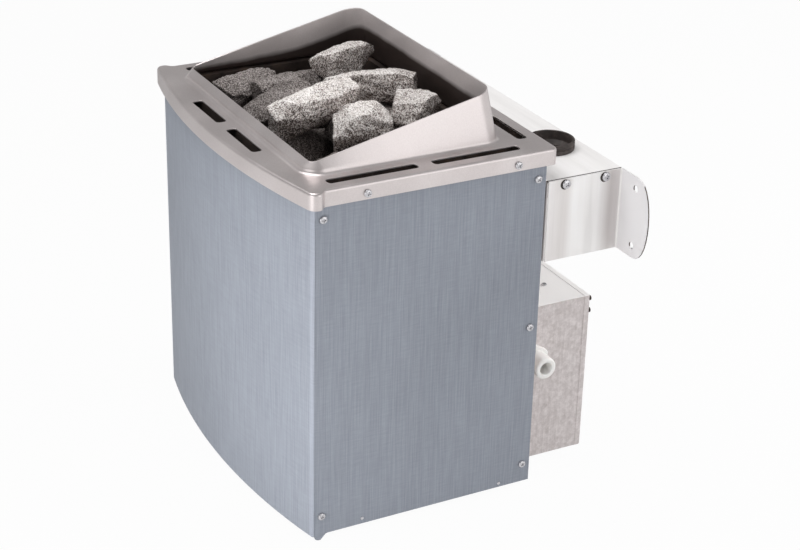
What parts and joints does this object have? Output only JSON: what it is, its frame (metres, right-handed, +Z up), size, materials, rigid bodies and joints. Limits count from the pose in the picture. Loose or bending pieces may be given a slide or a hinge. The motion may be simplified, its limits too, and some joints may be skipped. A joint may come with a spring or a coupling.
{
  "type": "sauna heater",
  "caption": "Wall-hung sauna heater: bowed sheet-steel casing, vented rim with a sloping collar round loose stones, hairpin elements, terminal box and wall bracket.",
  "frame": {"origin": "under the middle of the whole heater, level with its lowest point", "axes": "+X to the heater's right seen from the front, +Y towards the wall, +Z up; the bowed front faces -Y"},
  "size_m": [0.512, 0.3972, 0.467],
  "materials": {
    "casing_steel": "grey satin sheet steel, brushed upright",
    "rim_steel": "pale satin pressed stainless steel",
    "galvanised_steel": "hot-dip galvanised sheet, dull",
    "well_steel": "sheet steel darkened by heat",
    "element_steel": "stainless tube darkened by heat",
    "terminal_ceramic": "unglazed steatite",
    "wire_sleeve": "woven glass-fibre sleeve",
    "gland_plastic": "white moulded polyamide",
    "bracket_steel": "bright satin sheet steel",
    "grommet_rubber": "dark moulded rubber",
    "screw_zinc": "bright zinc-plated steel",
    "stone": "rough chipped grey rock with dark and pale grains"
  },
  "bodies": {
    "heater": {"front_panel": "casing_steel", "side_panel_left": "casing_steel", "side_panel_right": "casing_steel", "rear_panel": "galvanised_steel", "base_plate": "galvanised_steel", "heat_shield": "galvanised_steel", "element_carrier": "galvanised_steel", "terminal_box": "galvanised_steel", "terminal_box_cover": "galvanised_steel", "top_rim": "rim_steel", "stone_well": "well_steel", "stone_grate": "well_steel", "heating_element_left_1": "element_steel", "heating_element_left_2": "element_steel", "heating_element_left_3": "element_steel", "heating_element_right_1": "element_steel", "heating_element_right_2": "element_steel", "heating_element_right_3": "element_steel", "terminal_block": "terminal_ceramic", "wire_loom_left": "wire_sleeve", "wire_loom_right": "wire_sleeve", "gland_body": "gland_plastic", "gland_dome_nut": "gland_plastic", "gland_lock_nut": "gland_plastic", "bracket_top_plate": "bracket_steel", "bracket_wing_left": "bracket_steel", "bracket_wing_right": "bracket_steel", "bracket_grommet": "grommet_rubber", "panel_screw_left_top_front": "screw_zinc", "panel_screw_left_bottom_front": "screw_zinc", "panel_screw_left_top_back": "screw_zinc", "panel_screw_left_middle_back": "screw_zinc", "panel_screw_left_bottom_back": "screw_zinc", "panel_screw_right_top_front": "screw_zinc", "panel_screw_right_bottom_front": "screw_zinc", "panel_screw_right_top_back": "screw_zinc", "panel_screw_right_middle_back": "screw_zinc", "panel_screw_right_bottom_back": "screw_zinc", "rim_screw_left_front": "screw_zinc", "rim_screw_left_back": "screw_zinc", "rim_screw_right_front": "screw_zinc", "rim_screw_right_back": "screw_zinc", "wing_screw_left_front": "screw_zinc", "wing_screw_left_back": "screw_zinc", "wing_screw_right_front": "screw_zinc", "wing_screw_right_back": "screw_zinc", "stone_lower_1": "stone", "stone_lower_2": "stone", "stone_lower_3": "stone", "stone_lower_4": "stone", "stone_lower_5": "stone", "stone_lower_6": "stone", "stone_lower_7": "stone"},
    "stone_upper_1": {"stone_upper_1": "stone"},
    "stone_upper_2": {"stone_upper_2": "stone"},
    "stone_upper_3": {"stone_upper_3": "stone"},
    "stone_upper_4": {"stone_upper_4": "stone"},
    "stone_upper_5": {"stone_upper_5": "stone"},
    "stone_upper_6": {"stone_upper_6": "stone"},
    "stone_upper_7": {"stone_upper_7": "stone"}
  },
  "joints": [
    {"name": "stone_upper_1_lift", "type": "slide", "parent": "heater", "child": "stone_upper_1", "axis": [0, 0, 1], "range_m": [0, 0.13]},
    {"name": "stone_upper_2_lift", "type": "slide", "parent": "heater", "child": "stone_upper_2", "axis": [0, 0, 1], "range_m": [0, 0.13]},
    {"name": "stone_upper_3_lift", "type": "slide", "parent": "heater", "child": "stone_upper_3", "axis": [0, 0, 1], "range_m": [0, 0.13]},
    {"name": "stone_upper_4_lift", "type": "slide", "parent": "heater", "child": "stone_upper_4", "axis": [0, 0, 1], "range_m": [0, 0.13]},
    {"name": "stone_upper_5_lift", "type": "slide", "parent": "heater", "child": "stone_upper_5", "axis": [0, 0, 1], "range_m": [0, 0.13]},
    {"name": "stone_upper_6_lift", "type": "slide", "parent": "heater", "child": "stone_upper_6", "axis": [0, 0, 1], "range_m": [0, 0.13]},
    {"name": "stone_upper_7_lift", "type": "slide", "parent": "heater", "child": "stone_upper_7", "axis": [0, 0, 1], "range_m": [0, 0.13]}
  ]
}
